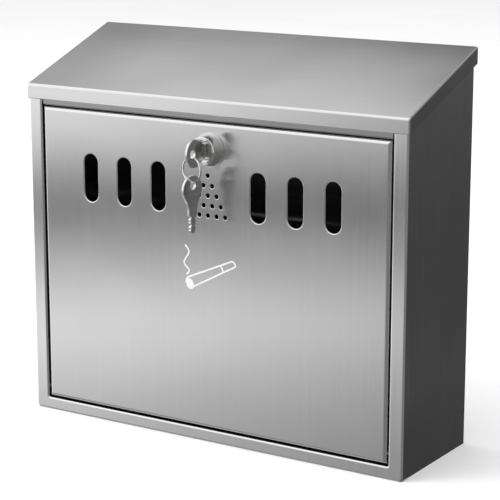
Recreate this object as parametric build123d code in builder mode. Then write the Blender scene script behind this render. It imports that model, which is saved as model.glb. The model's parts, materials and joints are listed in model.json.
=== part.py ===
"""Wall-mounted ashtray bin in folded stainless sheet, in millimetres.

Frame: the origin is the middle of the four wall fixings, on the wall plane. +X is to the right as seen
from the front, +Y points into the wall and +Z is up. The front of the bin faces -Y.
"""

import os
from math import atan2, cos, degrees, pi, radians, sin, sqrt, tan

from build123d import *

os.makedirs("parts", exist_ok=True)

# Overall
WIDTH = 310.0  # over the front frame
DEPTH = 96.0  # wall plane to the frame's face
FIXING_HEIGHT = 130.0  # underside to the middle of the wall fixings
BOTTOM = -FIXING_HEIGHT
EAVES = BOTTOM + 244.5  # top of the roof along its front edge
RIDGE = BOTTOM + 281.0  # top of the roof at the wall
SHEET = 1.0
BEND = 2.0  # outer radius of the folds
FRONT = -DEPTH

# Roof
ROOF_OVERHANG = 1.1
ROOF_SIDE_BEND = 1.1
ROOF_EDGE_ROLL = 0.6  # radius of the drip edge's rolled lip
ROOF_FRONT_DROP = 10.8
ROOF_SIDE_DROP = 11.8
ROOF_BACK_DROP = 12.0
ROOF_FRONT = FRONT - ROOF_OVERHANG
ROOF_HALF = WIDTH / 2 + ROOF_OVERHANG
ROOF_ANGLE = atan2(RIDGE - EAVES, -ROOF_FRONT)

# Body
FRAME_LAP = 8.5  # how far the front frame reaches back over the sides
SIDE_X = WIDTH / 2 - SHEET  # outer face of the side sheets
REAR_BEND = 1.6
FIXING_SPACING_X = 220.0
FIXING_SPACING_Z = 140.0
FIXING_RADIUS = 3.25
FLOOR_FLANGE = 7.0
FLOOR_CORNER = 3.0

# Front frame and its opening
POST = 10.8
SILL = 9.0
FRAME_TOP = EAVES - 2.0
FRAME_RETURN = 12.0
FRAME_CORNER = 2.6
OPENING_HALF = WIDTH / 2 - POST
OPENING_CORNER = 1.0
OPENING_BOTTOM = BOTTOM + SILL
OPENING_TOP = EAVES - ROOF_FRONT_DROP + 0.8
OUTER_BEND = 1.4  # outer radius round the frame
INNER_BEND = 1.3  # and round its opening

# Door
DOOR_GAP = 1.4
DOOR_BEND = 2.8
DOOR_HALF = OPENING_HALF - DOOR_GAP
DOOR_BOTTOM = OPENING_BOTTOM + 1.2
DOOR_TOP = OPENING_TOP - 5.3
HEAD_RAIL_FACE = FRONT + 1.2
HEAD_RAIL_BOTTOM = DOOR_TOP + 0.5
HEAD_RAIL_BEND = 1.1
DOOR_FLANGE = 12.0
DOOR_INNER = FRONT + SHEET
DOOR_BACK = FRONT + DOOR_FLANGE
PIVOT_Y = FRONT + 5.0
PIVOT_Z = OPENING_BOTTOM + 7.5
PIN_RADIUS = 1.5
RUNNING_GAP = 0.05

# Cigarette slots: two groups of three, either side of the middle
SLOT_WIDTH = 12.0
SLOT_HEIGHT = 34.6
SLOT_ROLL = 0.85  # radius of the punched edge
SLOT_Z = BOTTOM + 180.4
SLOT_FIRST_X = 41.3
SLOT_PITCH = 29.4

# Stub-out grid: a triangle of round holes, one more in each row
GRID_ROWS = 5
GRID_HOLE = 1.6
GRID_PITCH_X = 7.1
GRID_PITCH_Z = 7.0
GRID_X = 0.6
GRID_TOP_Z = BOTTOM + 192.0
GRID_ROLL = 0.5

# Cam lock
LOCK_X = 2.2
LOCK_Z = BOTTOM + 210.3
LOCK_AT = (LOCK_X, LOCK_Z)
LOCK_FACE = FRONT - 9.1
LOCK_BACK = FRONT + 14.4
BEZEL_RADIUS = 12.0
NOSE_RADIUS = 9.8
DISH_RADIUS = 7.9
DISH_DEPTH = 4.2
RIM_GROOVE = (8.4, 8.8)  # inner and outer radius of the fine groove round the rim
RIM_GROOVE_DEPTH = 0.35
BARREL_RADIUS = 9.0
BARREL_FLAT = 7.6  # half the width across the barrel's flats
PLUG_RADIUS = 6.4
KEYWAY_HALF_WIDTH = 1.2
KEYWAY_HALF_HEIGHT = 4.3
KEYWAY_END = LOCK_BACK - 1.2
PLUG_FACE = LOCK_FACE + DISH_DEPTH + 0.3
NUT_THICKNESS = 3.0
NUT_ACROSS_FLATS = 23.0
TOOTHED_WASHER = 0.8
SHANK_SIDE = 6.0
CAM_THICKNESS = 2.0
CAM_REACH = 30.0
CAM_HALF_WIDTH = 7.0
CAM_FRONT = LOCK_BACK + 0.4
CAM_WASHER = 0.8
SCREW_RADIUS = 2.0
WAFERS = 4

# Keys and their ring
BOW_LENGTH = 18.7  # along the blade
BOW_WIDTH = 19.5
BOW_HOLE = 3.1
BOW_HOLE_OFFSET = 2.5
KEY_THICKNESS = 2.0
NECK_HALF = 6.2
NECK_LENGTH = 4.4  # from the bow's edge to where the neck has narrowed to the shoulder
SHOULDER_HALF = 4.0
SHOULDER_LENGTH = 8.8
BLADE_HALF = 3.0
BLADE_LENGTH = 21.5
KEY_CUTS = (1.3, 0.9, 1.5, 1.1)
GROOVE_WIDTH = 1.4
GROOVE_DEPTH = 0.45
KEY_STANDOFF = 0.6  # between the bow and the lock's nose
RING_RADIUS = 8.4  # to the middle of the wire
RING_WIRE = 0.7  # radius of the wire
RING_YAW = 11.0  # degrees, from square across the key
HANG_GAP = 0.15
SPARE_YAW = 6.0  # degrees

# Liner, hooked on the inside of the door
LINER_SHEET = 0.8
LINER_HALF = 136.0
LINER_FRONT = DOOR_INNER + 3.2
LINER_BACK = -22.0
LINER_BOTTOM = DOOR_BOTTOM + SHEET + 0.5
LINER_TOP = SLOT_Z - SLOT_HEIGHT / 2 - 22.0
LINER_CORNER = 6.0
LINER_RIM = 3.5
LIP_DROP = 11.0
LIP_HALF = 126.0
LIP_FRONT = DOOR_INNER + 0.5
HANGER_X = 80.0
HANGER_WIDTH = 30.0

# Stay arms, which limit how far the door tips
OPEN_ANGLE = 38.0
STAY_RADIUS = 60.0
STAY_WIDTH = 7.0
STAY_THICKNESS = 1.5
STAY_HOOK = 9.0
STAY_PAD_HEIGHT = 20.0
STAY_RIVET_RADIUS = 1.6

# Door stops
STOP_Z = BOTTOM + 214.0
STOP_HEIGHT = 14.0
STOP_BACK = DOOR_BACK + 4.5
BUFFER_RADIUS = 4.0
BUFFER_GAP = 0.3


def facing(y):
    """Plane parallel to the wall at y. Its x is X, its y is Z and its normal points out of the front."""
    return Plane.XZ.offset(-y)


def crosswise(x):
    """Plane square to X. Its x is Y, its y is Z and its normal is +X."""
    return Plane.YZ.offset(x)


def roof_top(y):
    return RIDGE + y * tan(ROOF_ANGLE)


def roof_under(y):
    return roof_top(y) - SHEET / cos(ROOF_ANGLE)


def save(piece, name):
    piece.part.label = name
    export_step(piece.part, f"parts/{name}.step")


def edges_on_front(piece, y):
    return piece.edges().filter_by_position(Axis.Y, y - 0.01, y + 0.01)


# Body ------------------------------------------------------------------------------------------------


def make_body_wrap():
    """Left side, back and right side, folded from one sheet and cut to the roof's slope."""
    side_front = FRONT + SHEET + 0.2
    with BuildPart() as body_wrap:
        with BuildSketch(Plane.XY.offset(BOTTOM)):
            with BuildLine():
                FilletPolyline(
                    (-SIDE_X, side_front),
                    (-SIDE_X, 0),
                    (SIDE_X, 0),
                    (SIDE_X, side_front),
                    radius=REAR_BEND,
                )
                offset(amount=SHEET, side=Side.RIGHT)
            make_face()
        extrude(amount=RIDGE - BOTTOM)
        with BuildSketch(Plane.YZ):
            with BuildLine():
                Polyline(
                    (FRONT, roof_under(FRONT)),
                    (SHEET, roof_under(SHEET)),
                    (SHEET, RIDGE + SHEET),
                    (FRONT, RIDGE + SHEET),
                    close=True,
                )
            make_face()
        extrude(amount=WIDTH, both=True, mode=Mode.SUBTRACT)
        with BuildSketch(facing(FRONT)):
            Rectangle(2 * WIDTH, 4 * WIDTH)
            with Locations((0, (BOTTOM + FRAME_TOP) / 2)):
                Rectangle(2 * WIDTH, FRAME_TOP - BOTTOM - 2 * FRAME_CORNER, mode=Mode.SUBTRACT)
        extrude(amount=-FRAME_LAP, mode=Mode.SUBTRACT)
        with BuildSketch(facing(0)):
            with GridLocations(FIXING_SPACING_X, FIXING_SPACING_Z, 2, 2):
                Circle(FIXING_RADIUS)
        extrude(amount=2 * SHEET, mode=Mode.SUBTRACT)
    save(body_wrap, "body_wrap")


def make_floor_pan():
    """Shallow tray that closes the underside, its flanges turned up inside the sides."""
    fit = 0.1
    half = SIDE_X - SHEET - fit
    front = FRONT + FRAME_LAP + fit
    back = -SHEET - fit
    with BuildPart() as floor_pan:
        with BuildSketch(Plane.XY.offset(BOTTOM)):
            with Locations((0, (front + back) / 2)):
                RectangleRounded(2 * half, back - front, FLOOR_CORNER)
        extrude(amount=FLOOR_FLANGE)
        fillet(floor_pan.edges().group_by(Axis.Z)[0], BEND)
        offset(amount=-SHEET, openings=floor_pan.faces().sort_by(Axis.Z)[-1])
    save(floor_pan, "floor_pan")


def make_front_frame():
    """Pressed frame round the door: flat face, a lap over the sides and a return into the opening."""
    mid_z = (BOTTOM + FRAME_TOP) / 2
    height = FRAME_TOP - BOTTOM
    opening_mid = (OPENING_BOTTOM + OPENING_TOP) / 2
    opening_height = OPENING_TOP - OPENING_BOTTOM

    def ring(outer_grow, inner_grow, around, size, corner):
        with Locations((0, around)):
            RectangleRounded(size[0] + 2 * outer_grow, size[1] + 2 * outer_grow, corner + outer_grow)
            RectangleRounded(
                size[0] + 2 * inner_grow, size[1] + 2 * inner_grow, corner + inner_grow, mode=Mode.SUBTRACT
            )

    def on_opening(edge):
        x, _, z = edge.center()
        return abs(x) < OPENING_HALF + 0.5 and OPENING_BOTTOM - 0.5 < z < OPENING_TOP + 0.5

    outside = (WIDTH, height)
    opening = (2 * OPENING_HALF, opening_height)
    with BuildPart() as front_frame:
        with BuildSketch(facing(FRONT)):
            with Locations((0, mid_z)):
                RectangleRounded(*outside, FRAME_CORNER)
            with Locations((0, opening_mid)):
                RectangleRounded(*opening, OPENING_CORNER, mode=Mode.SUBTRACT)
        extrude(amount=-SHEET)
        with BuildSketch(facing(FRONT)):
            ring(0, -SHEET, mid_z, outside, FRAME_CORNER)
        extrude(amount=-FRAME_LAP)
        with BuildSketch(facing(FRONT)):
            ring(SHEET, 0, opening_mid, opening, OPENING_CORNER)
        extrude(amount=-FRAME_RETURN)
        fillet(edges_on_front(front_frame, FRONT).filter_by(lambda e: not on_opening(e)), OUTER_BEND)
        fillet(edges_on_front(front_frame, FRONT).filter_by(on_opening), INNER_BEND)
        with BuildSketch(crosswise(0)):
            with Locations((PIVOT_Y, PIVOT_Z)):
                Circle(PIN_RADIUS)
        extrude(amount=OPENING_HALF + 2 * SHEET, both=True, mode=Mode.SUBTRACT)
    save(front_frame, "front_frame")


def make_head_rail():
    """Channel under the frame's top return, set back behind the door's face. The cam catches behind it."""
    height = OPENING_TOP - HEAD_RAIL_BOTTOM
    with BuildPart() as head_rail:
        with BuildSketch(crosswise(0)):
            with Locations(((HEAD_RAIL_FACE + FRONT + FRAME_RETURN) / 2, (OPENING_TOP + HEAD_RAIL_BOTTOM) / 2)):
                Rectangle(FRAME_RETURN + FRONT - HEAD_RAIL_FACE, height)
        extrude(amount=OPENING_HALF - OPENING_CORNER, both=True)
        fillet(edges_on_front(head_rail, HEAD_RAIL_FACE).filter_by(Axis.X), HEAD_RAIL_BEND)
        open_faces = head_rail.faces().filter_by(lambda f: f.normal_at().Y > 0.9 or abs(f.normal_at().X) > 0.9)
        offset(amount=-SHEET, openings=open_faces)
    save(head_rail, "head_rail")


def make_roof_cap():
    """Sloping lid with a rolled drip edge on the front and sides and a flange tucked inside the back."""

    def is_open(face):
        return face.normal_at().Z < -0.8 or face.normal_at().Y > 0.9

    def on_outside(edge):
        x, y, _ = edge.center()
        return abs(x) > ROOF_HALF - SHEET / 2 or y < ROOF_FRONT + SHEET / 2

    with BuildPart() as roof_cap:
        with BuildSketch(crosswise(0)):
            with BuildLine():
                Polyline(
                    (ROOF_FRONT, EAVES - ROOF_FRONT_DROP),
                    (ROOF_FRONT, EAVES),
                    (0, RIDGE),
                    (0, RIDGE - ROOF_SIDE_DROP),
                    close=True,
                )
            make_face()
        extrude(amount=ROOF_HALF, both=True)
        fillet(roof_cap.edges().filter_by(Axis.X).group_by(Axis.Y)[0].sort_by(Axis.Z)[-1], BEND)
        open_faces = roof_cap.faces().filter_by(is_open)
        open_edges = [tuple(e.center()) for f in open_faces for e in f.edges()]
        side_edges = roof_cap.edges().filter_by(lambda e: abs(e.center().X) > ROOF_HALF - 0.01)
        fillet([e for e in side_edges if tuple(e.center()) not in open_edges], ROOF_SIDE_BEND)
        offset(amount=-SHEET, openings=roof_cap.faces().filter_by(is_open))
        lip_edges = roof_cap.faces().filter_by(lambda f: f.normal_at().Z < -0.8).sort_by(Axis.Z)[0].edges()
        fillet(lip_edges.filter_by(on_outside), ROOF_EDGE_ROLL)
        back_y = -SHEET
        with BuildSketch(crosswise(0)):
            with BuildLine():
                Polyline(
                    (back_y, roof_under(back_y) + SHEET / 2),
                    (back_y, RIDGE - ROOF_BACK_DROP),
                    (back_y - SHEET, RIDGE - ROOF_BACK_DROP),
                    (back_y - SHEET, roof_under(back_y - SHEET) + SHEET / 2),
                    close=True,
                )
            make_face()
        extrude(amount=SIDE_X - 2 * REAR_BEND, both=True)
    save(roof_cap, "roof_cap")


def make_hinge_pins():
    """Headed pins through the frame's returns, on which the door turns."""
    head = 1.2
    for name, sign in (("left", -1), ("right", 1)):
        with BuildPart() as pin:
            with BuildSketch(crosswise(sign * (OPENING_HALF + SHEET))):
                with Locations((PIVOT_Y, PIVOT_Z)):
                    Circle(2 * PIN_RADIUS)
            extrude(amount=sign * head)
            with BuildSketch(crosswise(sign * (OPENING_HALF + SHEET))):
                with Locations((PIVOT_Y, PIVOT_Z)):
                    Circle(PIN_RADIUS)
            extrude(amount=-sign * (SHEET + DOOR_GAP + SHEET + 1.2))
            inner_end = pin.edges().sort_by(Axis.X, reverse=sign > 0)[-1]
            chamfer(inner_end, 0.4)
        save(pin, f"hinge_pin_{name}")


def make_door_stops():
    """Angle brackets behind the frame's returns, each with a rubber buffer that the door closes on."""
    for name, sign in (("left", -1), ("right", 1)):
        root_x = OPENING_HALF + SHEET
        tip_x = DOOR_HALF - 6.5
        with BuildPart() as bracket:
            with BuildSketch(Plane.XY.offset(STOP_Z - STOP_HEIGHT / 2)):
                with BuildLine():
                    FilletPolyline(
                        (sign * root_x, FRONT + 3.0),
                        (sign * root_x, STOP_BACK),
                        (sign * tip_x, STOP_BACK),
                        radius=BEND - SHEET,
                    )
                    offset(amount=SHEET, side=Side.LEFT if sign < 0 else Side.RIGHT)
                make_face()
            extrude(amount=STOP_HEIGHT)
        save(bracket, f"stop_bracket_{name}")
        with BuildPart() as buffer:
            with BuildSketch(facing(STOP_BACK)):
                with Locations((sign * (tip_x + BUFFER_RADIUS + 0.5), STOP_Z)):
                    Circle(BUFFER_RADIUS)
            extrude(amount=STOP_BACK - DOOR_BACK - BUFFER_GAP)
            fillet(buffer.edges().sort_by(Axis.Y)[0], 1.0)
        save(buffer, f"door_buffer_{name}")


# Door ------------------------------------------------------------------------------------------------


def slot_places():
    one_side = [SLOT_FIRST_X + i * SLOT_PITCH for i in range(3)]
    return [(sign * x, SLOT_Z) for sign in (-1, 1) for x in one_side]


def grid_places():
    return [
        (GRID_X + (i - row / 2) * GRID_PITCH_X, GRID_TOP_Z - row * GRID_PITCH_Z)
        for row in range(GRID_ROWS)
        for i in range(row + 1)
    ]


def stay_rivet_places():
    """Two rivets up each stay arm's pad, as (y, z)."""
    mid = PIVOT_Z + STAY_RADIUS
    return [(DOOR_BACK - 5.5, mid + dz) for dz in (-STAY_PAD_HEIGHT / 4, STAY_PAD_HEIGHT / 4)]


def front_hole_edges(piece):
    """Edges of the holes in a piece's front face, where the punch has rolled them over."""
    front_face = piece.faces().sort_by(Axis.Y)[0]
    return ShapeList(e for wire in front_face.inner_wires() for e in wire.edges())


def barrel_section(clearance):
    """The lock barrel's outline: round, with a flat on each side that stops it turning in the door."""
    with Locations(LOCK_AT):
        Circle(BARREL_RADIUS + clearance)
        Rectangle(2 * (BARREL_FLAT + clearance), 3 * BARREL_RADIUS, mode=Mode.INTERSECT)


def make_door_panel():
    """Door sheet folded back on four sides, with its slots, stub-out grid, lock hole and pivot holes."""
    mid_z = (DOOR_BOTTOM + DOOR_TOP) / 2
    height = DOOR_TOP - DOOR_BOTTOM
    with BuildPart() as door_panel:
        with BuildSketch(facing(FRONT)):
            with Locations((0, mid_z)):
                Rectangle(2 * DOOR_HALF, height)
        extrude(amount=-DOOR_FLANGE)
        fillet(edges_on_front(door_panel, FRONT), DOOR_BEND)
        offset(amount=-SHEET, openings=door_panel.faces().sort_by(Axis.Y)[-1])
        with BuildSketch(facing(FRONT)):
            with Locations(*slot_places()):
                SlotOverall(SLOT_HEIGHT, SLOT_WIDTH, rotation=90)
        extrude(amount=-2 * SHEET, mode=Mode.SUBTRACT)
        fillet(front_hole_edges(door_panel), SLOT_ROLL)
        with BuildSketch(facing(FRONT)):
            with Locations(*grid_places()):
                Circle(GRID_HOLE)
        extrude(amount=-2 * SHEET, mode=Mode.SUBTRACT)
        fillet(front_hole_edges(door_panel).filter_by(lambda e: e.length < 3 * pi * GRID_HOLE), GRID_ROLL)
        with BuildSketch(facing(FRONT)):
            barrel_section(0.1)
        extrude(amount=-2 * SHEET, mode=Mode.SUBTRACT)
        with BuildSketch(crosswise(0)):
            with Locations((PIVOT_Y, PIVOT_Z)):
                Circle(PIN_RADIUS + RUNNING_GAP)
            with Locations(*stay_rivet_places()):
                Circle(STAY_RIVET_RADIUS)
        extrude(amount=2 * DOOR_HALF, both=True, mode=Mode.SUBTRACT)
    save(door_panel, "door_panel")


def make_stay_arms():
    """Curved arms on the door's sides. Each ends in a hook that meets the frame's return when the door is open."""
    pad_back = DOOR_BACK
    pad_front = DOOR_INNER + DOOR_BEND - SHEET + 0.2
    return_back = FRONT + FRAME_RETURN - PIVOT_Y
    catch = degrees(atan2(sqrt(STAY_RADIUS**2 - return_back**2), return_back))
    hook_angle = catch - OPEN_ANGLE
    start_angle = 92.0
    arm_x = DOOR_HALF - SHEET - STAY_THICKNESS
    for name, sign in (("left", -1), ("right", 1)):
        with BuildPart() as arm:
            with BuildSketch(crosswise(sign * arm_x)):
                with BuildLine():
                    CenterArc((PIVOT_Y, PIVOT_Z), STAY_RADIUS, hook_angle, start_angle - hook_angle)
                trace(line_width=STAY_WIDTH)
                with Locations(((pad_front + pad_back) / 2, PIVOT_Z + STAY_RADIUS)):
                    RectangleRounded(pad_back - pad_front, STAY_PAD_HEIGHT, 1.5)
            extrude(amount=sign * STAY_THICKNESS)
            hook_at = Plane(
                origin=(
                    sign * arm_x,
                    PIVOT_Y + STAY_RADIUS * cos(radians(hook_angle)),
                    PIVOT_Z + STAY_RADIUS * sin(radians(hook_angle)),
                ),
                x_dir=(0, cos(radians(hook_angle)), sin(radians(hook_angle))),
                z_dir=(1, 0, 0),
            )
            with BuildSketch(hook_at):
                with Locations((0, -STAY_THICKNESS / 2)):
                    Rectangle(STAY_WIDTH, STAY_THICKNESS)
            extrude(amount=sign * STAY_HOOK)
            with BuildSketch(crosswise(0)):
                with Locations(*stay_rivet_places()):
                    Circle(STAY_RIVET_RADIUS)
            extrude(amount=sign * 2 * DOOR_HALF, mode=Mode.SUBTRACT)
        save(arm, f"stay_arm_{name}")


def make_stay_rivets():
    """Four rivets through the door's side flanges and the stay arms, flush outside and headed inside."""
    head = 0.8
    grip = SHEET + STAY_THICKNESS
    with BuildPart() as rivets:
        for sign in (-1, 1):
            with BuildSketch(crosswise(sign * (DOOR_HALF - grip - head))):
                with Locations(*stay_rivet_places()):
                    Circle(1.7 * STAY_RIVET_RADIUS)
            extrude(amount=sign * head)
            with BuildSketch(crosswise(sign * (DOOR_HALF - grip))):
                with Locations(*stay_rivet_places()):
                    Circle(STAY_RIVET_RADIUS)
            extrude(amount=sign * grip)
    save(rivets, "stay_rivets")


def make_liner_hangers():
    """Stepped tongues on the inside of the door, which the liner's lip hooks over."""
    foot = LINER_TOP - 34.0
    step = LINER_TOP - 19.0
    tongue = DOOR_INNER + 1.8 + SHEET
    for name, sign in (("left", -1), ("right", 1)):
        with BuildPart() as hanger:
            with BuildSketch(crosswise(sign * HANGER_X - HANGER_WIDTH / 2)):
                with BuildLine():
                    FilletPolyline(
                        (DOOR_INNER + SHEET, foot),
                        (DOOR_INNER + SHEET, step),
                        (tongue, step + 4.0),
                        (tongue, LINER_TOP - 2.0),
                        radius=SHEET,
                    )
                    offset(amount=SHEET, side=Side.LEFT)
                make_face()
            extrude(amount=HANGER_WIDTH)
        save(hanger, f"liner_hanger_{name}")


# Lock ------------------------------------------------------------------------------------------------


def make_lock_housing():
    """Die-cast lock body: tapered bezel outside the door, flatted barrel inside, bored for the plug."""
    flange = 1.2
    with BuildPart() as lock_housing:
        with BuildSketch(facing(FRONT)):
            with Locations(LOCK_AT):
                Circle(BEZEL_RADIUS)
        extrude(amount=flange)
        with BuildSketch(facing(FRONT - flange)):
            with Locations(LOCK_AT):
                Circle(BEZEL_RADIUS - 0.4)
        with BuildSketch(facing(LOCK_FACE)):
            with Locations(LOCK_AT):
                Circle(NOSE_RADIUS)
        loft()
        fillet(lock_housing.edges().sort_by(Axis.Y)[0], 0.5)
        with BuildSketch(facing(FRONT)):
            barrel_section(0)
        extrude(amount=FRONT - LOCK_BACK)
        with BuildSketch(facing(LOCK_FACE)):
            with Locations(LOCK_AT):
                Circle(DISH_RADIUS)
        extrude(amount=-DISH_DEPTH, mode=Mode.SUBTRACT)
        with BuildSketch(facing(LOCK_FACE)):
            with Locations(LOCK_AT):
                Circle(RIM_GROOVE[1])
                Circle(RIM_GROOVE[0], mode=Mode.SUBTRACT)
        extrude(amount=-RIM_GROOVE_DEPTH, mode=Mode.SUBTRACT)
        with BuildSketch(facing(LOCK_FACE)):
            with Locations(LOCK_AT):
                Circle(PLUG_RADIUS + RUNNING_GAP)
        extrude(amount=-(LOCK_BACK - LOCK_FACE), mode=Mode.SUBTRACT)
    save(lock_housing, "lock_housing")


def make_lock_nut():
    with BuildPart() as lock_nut:
        with BuildSketch(facing(DOOR_INNER + TOOTHED_WASHER)):
            with Locations(LOCK_AT):
                RegularPolygon(NUT_ACROSS_FLATS / 2, 6, major_radius=False)
                Circle(BARREL_RADIUS + RUNNING_GAP, mode=Mode.SUBTRACT)
        extrude(amount=-NUT_THICKNESS)
    save(lock_nut, "lock_nut")


def make_lock_washer():
    teeth = 12
    with BuildPart() as lock_washer:
        with BuildSketch(facing(DOOR_INNER)):
            with Locations(LOCK_AT):
                Circle(BARREL_RADIUS + 2.6)
                with PolarLocations(BARREL_RADIUS + 2.9, teeth):
                    Circle(0.9, mode=Mode.SUBTRACT)
                Circle(BARREL_RADIUS + 0.1, mode=Mode.SUBTRACT)
        extrude(amount=-TOOTHED_WASHER)
    save(lock_washer, "lock_washer")


def wafer_planes():
    first, pitch = PLUG_FACE + 1.8, 3.4
    return [first + i * pitch for i in range(WAFERS)]


def wafer_outline(grow, window_grow):
    with Locations(LOCK_AT):
        RectangleRounded(6.4 + 2 * grow, 11.0 + 2 * grow, 1.0)
        if window_grow is not None:
            Rectangle(
                2 * (KEYWAY_HALF_WIDTH + window_grow), 2 * (KEYWAY_HALF_HEIGHT + window_grow), mode=Mode.SUBTRACT
            )


def make_lock_plug():
    """Turning cylinder with its keyway, wafer slots and a square shank for the cam."""
    wafer_slot = 1.1
    pocket = (2.4, 4.2, 0.6)  # width, height and depth of the index pocket beside the keyway
    pocket_at = (LOCK_X + 3.2, LOCK_Z - 1.1)
    with BuildPart() as lock_plug:
        with BuildSketch(facing(PLUG_FACE)):
            with Locations(LOCK_AT):
                Circle(PLUG_RADIUS)
        extrude(amount=-(CAM_FRONT - PLUG_FACE))
        with BuildSketch(facing(CAM_FRONT)):
            with Locations(LOCK_AT):
                Rectangle(SHANK_SIDE, SHANK_SIDE)
        extrude(amount=-CAM_THICKNESS)
        chamfer(lock_plug.edges().filter_by(GeomType.CIRCLE).sort_by(Axis.Y)[0], 0.5)
        with BuildSketch(facing(LOCK_FACE)):
            with Locations(LOCK_AT):
                Rectangle(2 * KEYWAY_HALF_WIDTH, 2 * KEYWAY_HALF_HEIGHT)
        extrude(amount=-(KEYWAY_END - LOCK_FACE), mode=Mode.SUBTRACT)
        with BuildSketch(facing(PLUG_FACE)):
            with Locations(pocket_at):
                Rectangle(pocket[0], pocket[1])
        extrude(amount=-pocket[2], mode=Mode.SUBTRACT)
        for y in wafer_planes():
            with BuildSketch(facing(y)):
                wafer_outline(0.1, None)
            extrude(amount=-wafer_slot, mode=Mode.SUBTRACT)
        with BuildSketch(facing(CAM_FRONT + CAM_THICKNESS)):
            with Locations(LOCK_AT):
                Circle(SCREW_RADIUS)
        extrude(amount=CAM_THICKNESS + 1.0, mode=Mode.SUBTRACT)
    save(lock_plug, "lock_plug")


def make_lock_wafers():
    with BuildPart() as lock_wafers:
        for y in wafer_planes():
            with BuildSketch(facing(y + 0.1)):
                wafer_outline(0, 0)
            extrude(amount=-0.9)
    save(lock_wafers, "lock_wafers")


def make_lock_cam():
    """Flat cam. At rest it lies level, unlocked; a quarter turn brings it up behind the frame's top return."""
    hub, tip = CAM_HALF_WIDTH, 3.0
    with BuildPart() as lock_cam:
        with BuildSketch(facing(CAM_FRONT)):
            with Locations(LOCK_AT):
                Circle(hub)
            with Locations((LOCK_X - CAM_REACH / 2, LOCK_Z)):
                RectangleRounded(CAM_REACH, 2 * CAM_HALF_WIDTH, tip)
            with Locations(LOCK_AT):
                Rectangle(SHANK_SIDE + 0.1, SHANK_SIDE + 0.1, mode=Mode.SUBTRACT)
        extrude(amount=-CAM_THICKNESS)
    save(lock_cam, "lock_cam")


def make_cam_fastener():
    washer_back = CAM_FRONT + CAM_THICKNESS + CAM_WASHER
    with BuildPart() as cam_washer:
        with BuildSketch(facing(CAM_FRONT + CAM_THICKNESS)):
            with Locations(LOCK_AT):
                Circle(6.0)
                Circle(SCREW_RADIUS + 0.2, mode=Mode.SUBTRACT)
        extrude(amount=-CAM_WASHER)
    save(cam_washer, "cam_washer")
    with BuildPart() as cam_screw:
        with BuildSketch(facing(washer_back)):
            with Locations(LOCK_AT):
                RegularPolygon(3.5, 6, major_radius=False)
        extrude(amount=-2.8)
        chamfer(cam_screw.edges().sort_by(Axis.Y)[-6:], 0.3)
        with BuildSketch(facing(washer_back)):
            with Locations(LOCK_AT):
                Circle(SCREW_RADIUS)
        extrude(amount=CAM_WASHER + CAM_THICKNESS + 0.8)
    save(cam_screw, "cam_screw")


# Keys ------------------------------------------------------------------------------------------------


def make_key(plane, name):
    """Flat key on a plane whose origin is the bow's centre and whose x runs towards the blade's tip."""
    bow_end = BOW_LENGTH / 2
    neck_end = bow_end + NECK_LENGTH
    shoulder = bow_end + SHOULDER_LENGTH
    tip = bow_end + BLADE_LENGTH
    half_outline = [
        (bow_end - 3.0, NECK_HALF + 1.2),
        (bow_end, NECK_HALF - 0.6),
        (neck_end, SHOULDER_HALF),
        (shoulder, SHOULDER_HALF),
        (shoulder, BLADE_HALF),
        (tip - 2.5, BLADE_HALF),
        (tip, 0.6),
    ]
    with BuildPart() as key:
        with BuildSketch(plane):
            Ellipse(BOW_LENGTH / 2, BOW_WIDTH / 2)
            with BuildLine():
                Polyline(*half_outline, *[(x, -half) for x, half in reversed(half_outline)], close=True)
            make_face()
            with Locations((-BOW_HOLE_OFFSET, 0)):
                Circle(BOW_HOLE, mode=Mode.SUBTRACT)
            for side in (-1, 1):
                for i, depth in enumerate(KEY_CUTS):
                    x = shoulder + 2.0 + 2.6 * i + 0.4 * side
                    with BuildLine():
                        Polyline(
                            (x - depth - 0.3, side * (BLADE_HALF + 0.1)),
                            (x - 0.3, side * (BLADE_HALF - depth)),
                            (x + 0.3, side * (BLADE_HALF - depth)),
                            (x + depth + 0.3, side * (BLADE_HALF + 0.1)),
                            close=True,
                        )
                    make_face(mode=Mode.SUBTRACT)
        extrude(amount=KEY_THICKNESS / 2, both=True)
        for face in (-1, 1):
            with BuildSketch(plane.offset(face * KEY_THICKNESS / 2)):
                with Locations((neck_end + tip / 2, 0)):
                    Rectangle(tip, GROOVE_WIDTH)
            extrude(amount=-face * GROOVE_DEPTH, mode=Mode.SUBTRACT)
        fillet(key.edges().filter_by(GeomType.ELLIPSE), 0.4)
    save(key, name)


def key_places():
    """The plane of the key in the lock, the ring's centre height, and the plane of the spare key on the ring."""
    bow_y = LOCK_FACE - KEY_STANDOFF - BOW_LENGTH / 2
    hole_y = bow_y - BOW_HOLE_OFFSET
    wire_drop = BOW_HOLE - RING_WIRE - HANG_GAP  # from a bow hole's middle to the wire's middle
    ring_z = LOCK_Z - wire_drop - RING_RADIUS
    spare_z = ring_z - RING_RADIUS - wire_drop - BOW_HOLE_OFFSET
    yaw = radians(SPARE_YAW)
    in_lock = Plane(origin=(LOCK_X, bow_y, LOCK_Z), x_dir=(0, 1, 0), z_dir=(1, 0, 0))
    spare = Plane(origin=(LOCK_X, hole_y, spare_z), x_dir=(0, 0, -1), z_dir=(cos(yaw), -sin(yaw), 0))
    return in_lock, (hole_y, ring_z), spare


def make_split_ring(centre):
    y, z = centre
    yaw = radians(RING_YAW)
    plane = Plane(origin=(LOCK_X, y, z), x_dir=(cos(yaw), -sin(yaw), 0), z_dir=(-sin(yaw), -cos(yaw), 0))
    section = Plane(origin=plane.from_local_coords((RING_RADIUS, 0, 0)), x_dir=plane.x_dir, z_dir=plane.y_dir)
    with BuildPart() as split_ring:
        with BuildSketch(section):
            Circle(RING_WIRE)
        revolve(axis=Axis(plane.origin, plane.z_dir))
    save(split_ring, "split_ring")


# Liner -----------------------------------------------------------------------------------------------


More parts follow.
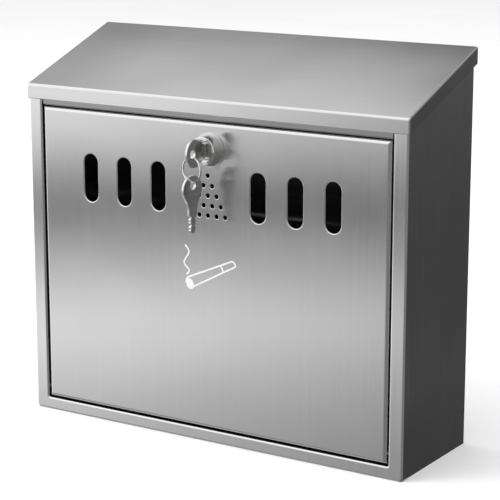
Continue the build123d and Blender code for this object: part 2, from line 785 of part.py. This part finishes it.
def make_ash_liner():
    """Removable sheet bin, open at the top, with a rim on three sides and a hooked lip along the front."""
    mid_y = (LINER_FRONT + LINER_BACK) / 2
    length = LINER_BACK - LINER_FRONT
    with BuildPart() as ash_liner:
        with BuildSketch(Plane.XY.offset(LINER_BOTTOM)):
            with Locations((0, mid_y)):
                RectangleRounded(2 * LINER_HALF, length, LINER_CORNER)
        extrude(amount=LINER_TOP - LINER_BOTTOM)
        fillet(ash_liner.edges().group_by(Axis.Z)[0], BEND)
        offset(amount=-LINER_SHEET, openings=ash_liner.faces().sort_by(Axis.Z)[-1])
        with BuildSketch(Plane.XY.offset(LINER_TOP - LINER_SHEET)):
            with Locations((0, mid_y + LINER_RIM / 2)):
                RectangleRounded(2 * (LINER_HALF + LINER_RIM), length + LINER_RIM, LINER_CORNER)
            with Locations((0, mid_y)):
                RectangleRounded(
                    2 * (LINER_HALF - LINER_SHEET / 2),
                    length - LINER_SHEET,
                    LINER_CORNER - LINER_SHEET / 2,
                    mode=Mode.SUBTRACT,
                )
        extrude(amount=LINER_SHEET)
        with BuildSketch(crosswise(-LIP_HALF)):
            with BuildLine():
                FilletPolyline(
                    (LINER_FRONT + LINER_SHEET / 2, LINER_TOP),
                    (LIP_FRONT, LINER_TOP),
                    (LIP_FRONT, LINER_TOP - LIP_DROP),
                    radius=LINER_SHEET + 0.2,
                )
                offset(amount=LINER_SHEET, side=Side.LEFT)
            make_face()
        extrude(amount=2 * LIP_HALF)
    save(ash_liner, "ash_liner")


make_body_wrap()
make_floor_pan()
make_front_frame()
make_head_rail()
make_roof_cap()
make_hinge_pins()
make_door_stops()
make_door_panel()
make_stay_arms()
make_stay_rivets()
make_liner_hangers()
make_lock_housing()
make_lock_nut()
make_lock_washer()
make_lock_plug()
make_lock_wafers()
make_lock_cam()
make_cam_fastener()
key_plane, ring_centre, spare_plane = key_places()
make_key(key_plane, "key")
make_split_ring(ring_centre)
make_key(spare_plane, "spare_key")
make_ash_liner()
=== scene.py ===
"""Looks for the wall-mounted ashtray bin: brushed stainless sheet, plated lock and keys, white pictogram."""

import json
from math import atan2, cos, pi, radians, sin

import bpy
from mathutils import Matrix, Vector
from mathutils.geometry import delaunay_2d_cdt


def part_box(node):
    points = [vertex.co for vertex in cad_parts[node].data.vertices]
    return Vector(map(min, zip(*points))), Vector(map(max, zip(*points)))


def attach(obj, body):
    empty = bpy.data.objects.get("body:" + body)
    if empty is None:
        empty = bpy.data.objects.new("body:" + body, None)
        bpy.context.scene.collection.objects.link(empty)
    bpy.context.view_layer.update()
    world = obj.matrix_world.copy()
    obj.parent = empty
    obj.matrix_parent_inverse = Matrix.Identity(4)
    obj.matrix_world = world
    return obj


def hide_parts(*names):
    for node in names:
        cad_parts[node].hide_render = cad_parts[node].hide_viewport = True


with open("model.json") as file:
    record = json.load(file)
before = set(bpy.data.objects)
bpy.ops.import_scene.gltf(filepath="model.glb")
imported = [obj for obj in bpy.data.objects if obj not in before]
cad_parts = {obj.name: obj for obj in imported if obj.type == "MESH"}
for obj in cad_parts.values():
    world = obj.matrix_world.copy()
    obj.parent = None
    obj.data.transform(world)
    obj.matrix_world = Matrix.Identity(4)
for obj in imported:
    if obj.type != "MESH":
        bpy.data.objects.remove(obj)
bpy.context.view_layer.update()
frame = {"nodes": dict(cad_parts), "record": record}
NODES = frame["nodes"]
JOINTS = {j["name"]: j for j in frame["record"]["behaviour"]["joints"]}
MM = 0.001
X_AXIS, Y_AXIS, Z_AXIS = range(3)
scene = bpy.context.scene

NOISE_ROUGHNESS = 0.6
NOISE_LOW, NOISE_HIGH = 0.3, 0.7  # the range that most of Blender's noise stays in

# Noise features per metre
FINE_ACROSS = 2400.0  # brushed grain, counted across its lines
FINE_ALONG = 16.0
BAND_ACROSS = 420.0  # broader bands within the grain
BAND_ALONG = 5.0
HANDLING_MARKS = 26.0
SHEET_WAVES = 9.0

QUARTER_TURN = 0.25  # of Anisotropic Rotation: turns the highlight's spread across the tangent

# Nodes -----------------------------------------------------------------------------------------------


class Nodes:
    """A node tree, emptied, with the helpers that materials and the studio share."""

    def __init__(self, owner):
        owner.use_nodes = True
        self.tree = owner.node_tree
        self.tree.nodes.clear()

    def add(self, kind):
        return self.tree.nodes.new(kind)

    def link(self, a, b):
        self.tree.links.new(a, b)

    def math(self, op, *values):
        n = self.add("ShaderNodeMath")
        n.operation = op
        for socket, v in zip(n.inputs, values):
            if isinstance(v, (int, float)):
                socket.default_value = v
            else:
                self.link(v, socket)
        return n.outputs["Value"]


# Materials -------------------------------------------------------------------------------------------


class Mat(Nodes):
    """A node material with small helpers, so that each finish below reads as a recipe."""

    def __init__(self, name):
        self.mat = bpy.data.materials.new(name)
        super().__init__(self.mat)
        out = self.add("ShaderNodeOutputMaterial")
        self.bsdf = self.add("ShaderNodeBsdfPrincipled")
        self.link(self.bsdf.outputs["BSDF"], out.inputs["Surface"])
        self.coords = self.add("ShaderNodeTexCoord").outputs["Object"]
        self.normal = None

    def noise(self, stretch, detail=4.0):
        """Noise with its own number of features per metre along each axis."""
        mapping = self.add("ShaderNodeMapping")
        mapping.inputs["Scale"].default_value = stretch
        self.link(self.coords, mapping.inputs["Vector"])
        n = self.add("ShaderNodeTexNoise")
        n.inputs["Scale"].default_value = 1.0
        n.inputs["Detail"].default_value = detail
        n.inputs["Roughness"].default_value = NOISE_ROUGHNESS
        self.link(mapping.outputs["Vector"], n.inputs["Vector"])
        return n.outputs["Fac"]

    def remap(self, value, lo, hi):
        """Stretch the noise's usual range to lo and hi."""
        m = self.add("ShaderNodeMapRange")
        m.inputs["From Min"].default_value = NOISE_LOW
        m.inputs["From Max"].default_value = NOISE_HIGH
        m.inputs["To Min"].default_value = lo
        m.inputs["To Max"].default_value = hi
        self.link(value, m.inputs["Value"])
        return m.outputs["Result"]

    def sum(self, first, *rest):
        for value in rest:
            first = self.math("ADD", first, value)
        return first

    def colour(self, value, tint=(1.0, 1.0, 1.0)):
        c = self.add("ShaderNodeCombineColor")
        for i, t in enumerate(tint):
            self.link(self.math("MULTIPLY", value, t), c.inputs[i])
        self.link(c.outputs["Color"], self.bsdf.inputs["Base Color"])

    def roughness(self, value):
        self.link(value, self.bsdf.inputs["Roughness"])

    def bump(self, height, distance, strength=1.0):
        """Each bump builds on the one before it."""
        b = self.add("ShaderNodeBump")
        b.inputs["Strength"].default_value = strength
        b.inputs["Distance"].default_value = distance
        self.link(height, b.inputs["Height"])
        if self.normal:
            self.link(self.normal, b.inputs["Normal"])
        self.normal = b.outputs["Normal"]
        self.link(self.normal, self.bsdf.inputs["Normal"])

    def tangent(self, axis):
        """Point the shader's tangent along an axis of the part, whatever the part's pose."""
        direction = self.add("ShaderNodeCombineXYZ")
        direction.inputs[axis].default_value = 1.0
        to_world = self.add("ShaderNodeVectorTransform")
        to_world.vector_type = "VECTOR"
        to_world.convert_from = "OBJECT"
        to_world.convert_to = "WORLD"
        self.link(direction.outputs["Vector"], to_world.inputs["Vector"])
        self.link(to_world.outputs["Vector"], self.bsdf.inputs["Tangent"])

    def set(self, **values):
        for name, v in values.items():
            self.bsdf.inputs[name.replace("_", " ")].default_value = v


def streaks(axis, across, along):
    """Feature counts per metre for grain that runs along one axis."""
    return tuple(along if i == axis else across for i in range(3))


def brushed(name, axis, tone, rough, aniso, spread_across=True, tint=(1.0, 1.0, 1.005), grain=1.0, wave=1.0):
    """Brushed stainless: fine grain along an axis, broader bands, handling marks, a sheet's slight waves.

    The grain and wave factors scale the contrast of the lines and the depth of the waves.
    Highlights spread across the grain, or along it where spread_across is false."""
    m = Mat(name)
    fine = m.noise(streaks(axis, FINE_ACROSS, FINE_ALONG), detail=3.0)
    band = m.noise(streaks(axis, BAND_ACROSS, BAND_ALONG), detail=3.0)
    marks = m.noise((HANDLING_MARKS,) * 3, detail=6.0)
    steel = m.sum(
        m.remap(band, tone - 0.012 * grain, tone + 0.012 * grain),
        m.remap(fine, -0.016 * grain, 0.016 * grain),
        m.remap(marks, -0.010, 0.010),
    )
    m.colour(steel, tint)
    m.roughness(
        m.sum(
            m.remap(band, rough - 0.006 * grain, rough + 0.006 * grain),
            m.remap(fine, -0.012 * grain, 0.012 * grain),
            m.remap(marks, -0.010, 0.015),
        )
    )
    m.set(Metallic=1.0, Anisotropic=aniso, Anisotropic_Rotation=QUARTER_TURN if spread_across else 0.0)
    m.tangent(axis)
    m.bump(m.noise((SHEET_WAVES,) * 3, detail=1.0), 0.25 * MM * wave)
    m.bump(fine, 0.01 * MM, 0.25)
    return m.mat


def plated(name, tone, rough, tint=(1.0, 0.995, 0.985)):
    """Nickel or zinc plating: smooth, with a faint cast skin and small scuffs."""
    m = Mat(name)
    skin = m.noise((900.0,) * 3, detail=3.0)
    scuffs = m.noise((140.0, 140.0, 500.0), detail=5.0)
    m.colour(m.sum(m.remap(skin, -0.02, 0.02), m.remap(scuffs, tone - 0.04, tone + 0.03)), tint)
    m.roughness(m.remap(scuffs, rough - 0.04, rough + 0.06))
    m.set(Metallic=1.0)
    m.bump(skin, 0.02 * MM, 0.2)
    return m.mat


def rubber(name):
    """Black rubber with a fine grain and a little dust."""
    m = Mat(name)
    grain = m.noise((2500.0,) * 3)
    dust = m.noise((120.0,) * 3)
    m.colour(m.remap(dust, 0.012, 0.035))
    m.roughness(m.remap(dust, 0.65, 0.85))
    m.bump(grain, 0.05 * MM, 0.4)
    return m.mat


def white_ink(name):
    """Screen-printed white ink: slightly uneven cover over the steel's grain."""
    m = Mat(name)
    cover = m.noise((700.0,) * 3)
    m.colour(m.remap(cover, 0.72, 0.80))
    m.roughness(m.remap(cover, 0.35, 0.5))
    m.bump(m.noise(streaks(Z_AXIS, FINE_ACROSS, FINE_ALONG), detail=3.0), 0.01 * MM, 0.2)
    return m.mat


def paint(mat, *names):
    """Give CAD nodes one material in place of their own."""
    for n in names:
        NODES[n].data.materials.clear()
        NODES[n].data.materials.append(mat)


paint(brushed("steel_door", Z_AXIS, tone=0.61, rough=0.15, aniso=0.93, grain=0.5), "door_panel")
paint(brushed("steel_frame", Z_AXIS, tone=0.66, rough=0.16, aniso=0.9, wave=0.4), "front_frame")
# The head rail is the same steel at about half the others' tone: painted shade, standing in for the shade
# under the roof's lip where the rail sits recessed.
paint(brushed("steel_rail_painted_shade", X_AXIS, tone=0.30, rough=0.22, aniso=0.4), "head_rail")
paint(
    brushed("steel_roof", X_AXIS, tone=0.58, rough=0.10, aniso=0.2, spread_across=False, grain=0.6),
    "roof_cap",
)
paint(brushed("steel_body", Z_AXIS, tone=0.60, rough=0.20, aniso=0.8), "body_wrap", "floor_pan")
paint(
    brushed("steel_small", Z_AXIS, tone=0.60, rough=0.28, aniso=0.4),
    "stop_bracket_left",
    "stop_bracket_right",
)
paint(brushed("steel_arms", Y_AXIS, tone=0.58, rough=0.30, aniso=0.4), "stay_arm_left", "stay_arm_right")
paint(
    brushed("steel_hangers", Z_AXIS, tone=0.58, rough=0.30, aniso=0.4),
    "liner_hanger_left",
    "liner_hanger_right",
)
paint(
    brushed("liner_steel", X_AXIS, tone=0.50, rough=0.34, aniso=0.3, tint=(0.98, 1.0, 1.01)),
    "ash_liner",
)
paint(plated("pin_steel", tone=0.62, rough=0.25), "hinge_pin_left", "hinge_pin_right", "stay_rivets")
paint(plated("lock_nickel", tone=0.72, rough=0.17), "lock_housing")
paint(plated("plug_nickel", tone=0.60, rough=0.20), "lock_plug")
paint(plated("nut_nickel", tone=0.62, rough=0.25), "lock_nut")
paint(
    plated("zinc", tone=0.56, rough=0.32, tint=(0.98, 1.0, 1.02)),
    "lock_cam",
    "cam_washer",
    "cam_screw",
    "lock_washer",
)
paint(plated("wafer_brass", tone=0.70, rough=0.30, tint=(1.0, 0.80, 0.46)), "lock_wafers")
paint(plated("key_nickel", tone=0.62, rough=0.17), "key", "spare_key")
paint(rubber("buffer_rubber"), "door_buffer_left", "door_buffer_right")


def add_object(name, verts, faces, mat):
    """A new mesh object with one material."""
    mesh = bpy.data.meshes.new(name)
    mesh.from_pydata(verts, [], faces)
    mesh.materials.append(mat)
    obj = bpy.data.objects.new(name, mesh)
    scene.collection.objects.link(obj)
    return obj


# Pictogram -------------------------------------------------------------------------------------------

LINE = 1.15  # width of the printed line, in millimetres
INK = 0.06  # how far the ink stands off the door
INSIDE_ONLY = 1  # the triangulation keeps only what lies inside an outline
MERGE_DISTANCE = 1e-4  # points closer than this are one point
CAP_STEPS = 8  # sides of each rounded end of a line


def catmull_rom(a, b, c, d, t):
    """One coordinate between b and c, a share t of the way along."""
    return 0.5 * (2 * b + (c - a) * t + (2 * a - 5 * b + 4 * c - d) * t * t + (3 * b - a - 3 * c + d) * t**3)


def smooth_path(points, steps=8):
    """Catmull-Rom path through flat points."""
    path = []
    ends = [points[0]] + points + [points[-1]]
    for four in zip(ends, ends[1:], ends[2:], ends[3:]):
        for k in range(steps):
            path.append(tuple(catmull_rom(*along, k / steps) for along in zip(*four)))
    return path + [points[-1]]


def arc(centre, radii, start, turn, steps, tilt=0.0):
    """Points on part of an ellipse, from a start angle through a turn, the whole tilted about its centre."""
    points = []
    for k in range(steps + 1):
        a = start + turn * k / steps
        u, v = radii[0] * cos(a), radii[1] * sin(a)
        points.append((centre[0] + u * cos(tilt) - v * sin(tilt), centre[1] + u * sin(tilt) + v * cos(tilt)))
    return points


def stroke(path):
    """Round-ended capsules, one for each step of the path, that together make a line of even width."""
    half = LINE / 2
    capsules = []
    for a, b in zip(path, path[1:]):
        square = atan2(b[1] - a[1], b[0] - a[0]) + pi / 2
        tail = arc(a, (half, half), square, pi, CAP_STEPS)
        tip = arc(b, (half, half), square + pi, pi, CAP_STEPS)
        capsules.append(tail + tip)
    return capsules


def flat_union(outlines):
    """One mesh over everything that the outlines cover: its flat vertices, triangles and border edges."""
    verts, loops = [], []
    for outline in outlines:
        loops.append(list(range(len(verts), len(verts) + len(outline))))
        verts += [Vector(p) for p in outline]
    flat, _, faces, _, _, covers = delaunay_2d_cdt(verts, [], loops, INSIDE_ONLY, MERGE_DISTANCE)
    triangles = [f for f, cover in zip(faces, covers) if cover]
    sides = [(f[i], f[(i + 1) % len(f)]) for f in triangles for i in range(len(f))]
    both_ways = set(sides)
    border = [(a, b) for a, b in sides if (b, a) not in both_ways]
    return flat, triangles, border


def pictogram(mat):
    """A plain burning cigarette, in millimetres on the door: outline, lit end, filter band, curl of smoke."""
    smoke = smooth_path([(-18.4, 11.2), (-15.5, 6.4), (-19.6, -1.3), (-15.4, -6.4), (-17.4, -9.6)])
    body = [(-15.9, -11.4), (20.5, 4.1)]
    body += smooth_path([(20.5, 4.1), (22.4, 2.9), (23.3, 1.3), (22.6, 0.3)], 5)[1:]
    body += [(-11.4, -17.7)]
    band = smooth_path([(11.1, -0.2), (12.4, -2.3), (12.9, -4.8)])
    lit_end = smooth_path([(-15.9, -11.4), (-17.5, -12.9), (-17.9, -15.4)])
    ember = arc((-14.7, -16.3), (3.1, 3.9), 0.0, 2 * pi, steps=36, tilt=radians(25.0))[:-1]
    outlines = [ember]
    for path in (body, band, lit_end, smoke):
        outlines += stroke(path)
    flat, triangles, border = flat_union(outlines)
    count = len(flat)
    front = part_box("door_panel")[0].y - INK * MM
    verts = [(p.x * MM, y, p.y * MM) for y in (front, front + 2 * INK * MM) for p in flat]
    faces = [tuple(f) for f in triangles]
    faces += [tuple(i + count for i in reversed(f)) for f in triangles]
    faces += [(b, a, a + count, b + count) for a, b in border]
    obj = add_object("pictogram", verts, faces, mat)
    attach(obj, "door")


pictogram(white_ink("white_ink"))

# Split ring ------------------------------------------------------------------------------------------


def split_ring(mat):
    """Two turns of wire side by side with a crossover, inside the plain ring's outline."""
    lo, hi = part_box("split_ring")
    centre = (lo + hi) / 2
    across = Vector(JOINTS["ring_swing"]["axis"]).normalized()
    up = Vector((0.0, 0.0, 1.0))
    axle = across.cross(up)
    wire = 0.36 * MM
    deep = 1.5 * wire  # the wire is flattened: deeper towards the ring's centre than it is wide
    wide = 0.95 * wire
    mean_radius = (hi.z - lo.z) / 2 - 0.7 * MM
    half_pitch = 1.02 * wire  # leaves the two turns just apart
    crossover = 0.08  # share of a turn over which the wire steps from one turn to the other
    first_end = pi / 3
    turns, steps, sides = 2, 64, 12
    verts, faces = [], []
    last = turns * steps
    for i in range(last + 1):
        turn = i / steps
        a = 2 * pi * turn + first_end
        step = min(max((turn - 1.0 + crossover / 2) / crossover, 0.0), 1.0)
        eased = 3 * step**2 - 2 * step**3
        offset = half_pitch * (2 * eased - 1)
        radial = across * cos(a) + up * sin(a)
        for k in range(sides):
            b = 2 * pi * k / sides
            p = centre + radial * (mean_radius + deep * cos(b)) + axle * (offset + wide * sin(b))
            verts.append(tuple(p))
    for i in range(last):
        for k in range(sides):
            j = (k + 1) % sides
            faces.append((i * sides + k, i * sides + j, (i + 1) * sides + j, (i + 1) * sides + k))
    faces.append(tuple(range(sides - 1, -1, -1)))
    faces.append(tuple(last * sides + k for k in range(sides)))
    obj = add_object("split_ring_coil", verts, faces, mat)
    for p in obj.data.polygons:
        p.use_smooth = True
    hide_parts("split_ring")
    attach(obj, "ring")


split_ring(plated("ring_nickel", tone=0.78, rough=0.12))

# Floor -----------------------------------------------------------------------------------------------


def make_floor():
    """A plain, matt, pale floor under the bin, left out of the metal's reflections."""
    half = 12.0
    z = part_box("floor_pan")[0].z
    m = Mat("floor_pale")
    m.colour(m.remap(m.noise((3.0,) * 3), 0.90, 0.93))
    m.set(Roughness=0.9, Specular_IOR_Level=0.0)
    corners = [(-half, -half, z), (half, -half, z), (half, half, z), (-half, half, z)]
    floor = add_object("floor", corners, [(0, 1, 2, 3)], m.mat)
    floor.visible_glossy = False


make_floor()

# Light -----------------------------------------------------------------------------------------------


class Studio(Nodes):
    """A soft studio as a sphere of light, described by bearing and elevation in degrees.

    Bearing 0 is straight out of the bin's front, and it grows towards the bin's right. The left angle is the
    same bearing counted the other way."""

    def __init__(self):
        scene.world = bpy.data.worlds.new("studio")
        super().__init__(scene.world)
        split = self.add("ShaderNodeSeparateXYZ")
        self.link(self.add("ShaderNodeTexCoord").outputs["Generated"], split.inputs["Vector"])
        x, y, z = split.outputs
        forward = self.math("MULTIPLY", y, -1.0)
        self.elevation = self.math("DIVIDE", self.math("ARCSINE", z), radians(1.0))
        self.bearing = self.math("DIVIDE", self.math("ARCTAN2", x, forward), radians(1.0))
        self.left = self.math("MULTIPLY", self.bearing, -1.0)

    def scaled(self, value, lo, hi, smooth=True):
        """The share of the way from lo to hi, held between 0 and 1."""
        n = self.add("ShaderNodeMapRange")
        n.interpolation_type = "SMOOTHSTEP" if smooth else "LINEAR"
        self.link(value, n.inputs["Value"])
        n.inputs["From Min"].default_value = lo
        n.inputs["From Max"].default_value = hi
        return n.outputs["Result"]

    def profile(self, stops, angle=None):
        """Brightness against elevation, or another angle, from (degrees, brightness) stops."""
        lo, hi = stops[0][0], stops[-1][0]
        r = self.add("ShaderNodeValToRGB")
        r.color_ramp.interpolation = "LINEAR"
        elements = r.color_ramp.elements
        while len(elements) < len(stops):
            elements.new(0.5)  # moved to its place below
        for e, (degrees, v) in zip(elements, stops):
            e.position = (degrees - lo) / (hi - lo)
            e.color = (v, v, v, 1.0)
        self.link(self.scaled(angle or self.elevation, lo, hi, smooth=False), r.inputs["Fac"])
        return r.outputs["Color"]

    def dimming(self, angle, start, end, loss):
        """A factor that falls from 1 at one angle to less at another."""
        return self.math("SUBTRACT", 1.0, self.math("MULTIPLY", self.scaled(angle, start, end), loss))

    def blend(self, a, b, share):
        rest = self.math("SUBTRACT", 1.0, share)
        return self.math("ADD", self.math("MULTIPLY", a, rest), self.math("MULTIPLY", b, share))

    def finish(self, light):
        """Metal mirrors the studio, and the camera sees a plain pale backdrop beyond the floor."""
        seen = self.add("ShaderNodeLightPath").outputs["Is Camera Ray"]
        backdrop = self.profile([(0, 0.74), (12, 0.96)])
        background = self.add("ShaderNodeBackground")
        self.link(self.blend(light, backdrop, seen), background.inputs["Color"])
        self.link(background.outputs["Background"], self.add("ShaderNodeOutputWorld").inputs["Surface"])


ROOF_BEARING = -131.0  # where the roof's left end mirrors the light behind
ROOF_LEAN = 0.45  # degrees of elevation that this light's edge moves for each degree of bearing


def studio_light():
    """A bright left wall, a dark strip low in front, a dim right and a dark corner behind on the right."""
    s = Studio()
    front_left = s.profile(
        [(-90, 0.30), (-40, 0.40), (-24, 0.45), (-20, 0.52), (-17, 0.92), (-15.3, 1.36)]
        + [(-13.5, 0.88), (-12.5, 0.62), (-11.4, 0.13), (-10.8, 0.34), (-9.8, 0.92), (-9, 1.20)]
        + [(-6, 1.32), (0, 1.5), (30, 1.5), (60, 1.45), (90, 1.3)]
    )
    front_right = s.profile(
        [(-90, 0.20), (-40, 0.24), (-20, 0.33), (-17, 0.43), (-15.3, 0.72), (-13.6, 0.38)]
        + [(-11.8, 0.18), (-10.4, 0.28), (-9.5, 0.42), (-8.5, 0.66), (-6, 0.80), (0, 1.0)]
        + [(30, 1.4), (60, 1.4), (90, 1.3)]
    )
    left_wall = s.profile([(-90, 0.5), (-40, 0.8), (-20, 1.5), (30, 1.7), (60, 1.6), (90, 1.3)])
    right_wall = s.profile(
        [(-90, 0.18), (-20, 0.24), (-8, 0.28), (0, 0.36), (20, 0.5), (60, 0.9), (90, 1.1)]
    )
    lean = s.math("MULTIPLY", s.math("SUBTRACT", s.bearing, ROOF_BEARING), ROOF_LEAN)
    behind_left = s.profile(
        [(-90, 0.3), (0, 0.30), (30, 0.18), (35.5, 0.24), (36.6, 0.36), (37.8, 0.68)]
        + [(39.0, 0.98), (42, 1.12), (90, 1.2)],
        s.math("ADD", s.elevation, lean),
    )
    for start, end, loss in ((138.0, 147.0, 0.4), (133.0, 126.0, 0.3)):
        behind_left = s.math("MULTIPLY", behind_left, s.dimming(s.left, start, end, loss))
    behind_right = s.profile(
        [(-90, 0.08), (-40, 0.08), (-19, 0.05), (-17, 0.08), (-14, 0.06), (-10.5, 0.07)]
        + [(-8, 0.09), (0, 0.18), (30, 0.30), (44, 0.36), (60, 0.6), (90, 1.0)]
    )
    light = s.blend(front_right, front_left, s.scaled(s.left, 26.0, 36.0, smooth=False))
    light = s.blend(light, right_wall, s.scaled(s.bearing, -16.0, 20.0))
    light = s.blend(light, left_wall, s.scaled(s.left, 55.0, 78.0))
    light = s.blend(light, behind_left, s.scaled(s.left, 95.0, 120.0))
    light = s.blend(light, behind_right, s.scaled(s.bearing, 122.0, 144.0))
    light = s.blend(light, behind_right, s.scaled(s.left, 150.0, 178.0))  # both sides meet straight behind
    s.finish(light)


def soft_box(name, place, size, power):
    """A round soft box aimed at the origin. It lights floor and print, while the metal mirrors the world."""
    data = bpy.data.lights.new(name, "AREA")
    data.shape = "DISK"
    data.size = size
    data.energy = power
    obj = bpy.data.objects.new(name, data)
    obj.location = place
    obj.rotation_euler = (-Vector(place)).to_track_quat("-Z", "Y").to_euler()
    obj.visible_glossy = False
    scene.collection.objects.link(obj)


studio_light()
soft_box("key_light", place=(-1.6, -1.6, 2.2), size=1.6, power=30.0)
soft_box("top_light", place=(0.2, 0.2, 2.6), size=2.4, power=30.0)

# Camera ----------------------------------------------------------------------------------------------


def make_camera(bearing, elevation, distance, target, lens):
    """A camera that looks at the target from a bearing, an elevation and a distance in metres."""
    data = bpy.data.cameras.new("camera")
    data.lens = lens
    data.sensor_width = 36.0
    camera = bpy.data.objects.new("camera", data)
    scene.collection.objects.link(camera)
    toward = Vector((sin(bearing) * cos(elevation), -cos(bearing) * cos(elevation), sin(elevation)))
    camera.location = Vector(target) + distance * toward
    camera.rotation_euler = (-toward).to_track_quat("-Z", "Y").to_euler()
    scene.camera = camera


make_camera(
    bearing=radians(32.6), elevation=radians(12.9), distance=1.291, target=(0.0044, -0.048, 0.001), lens=130.1
)
scene.view_settings.view_transform = "Standard"
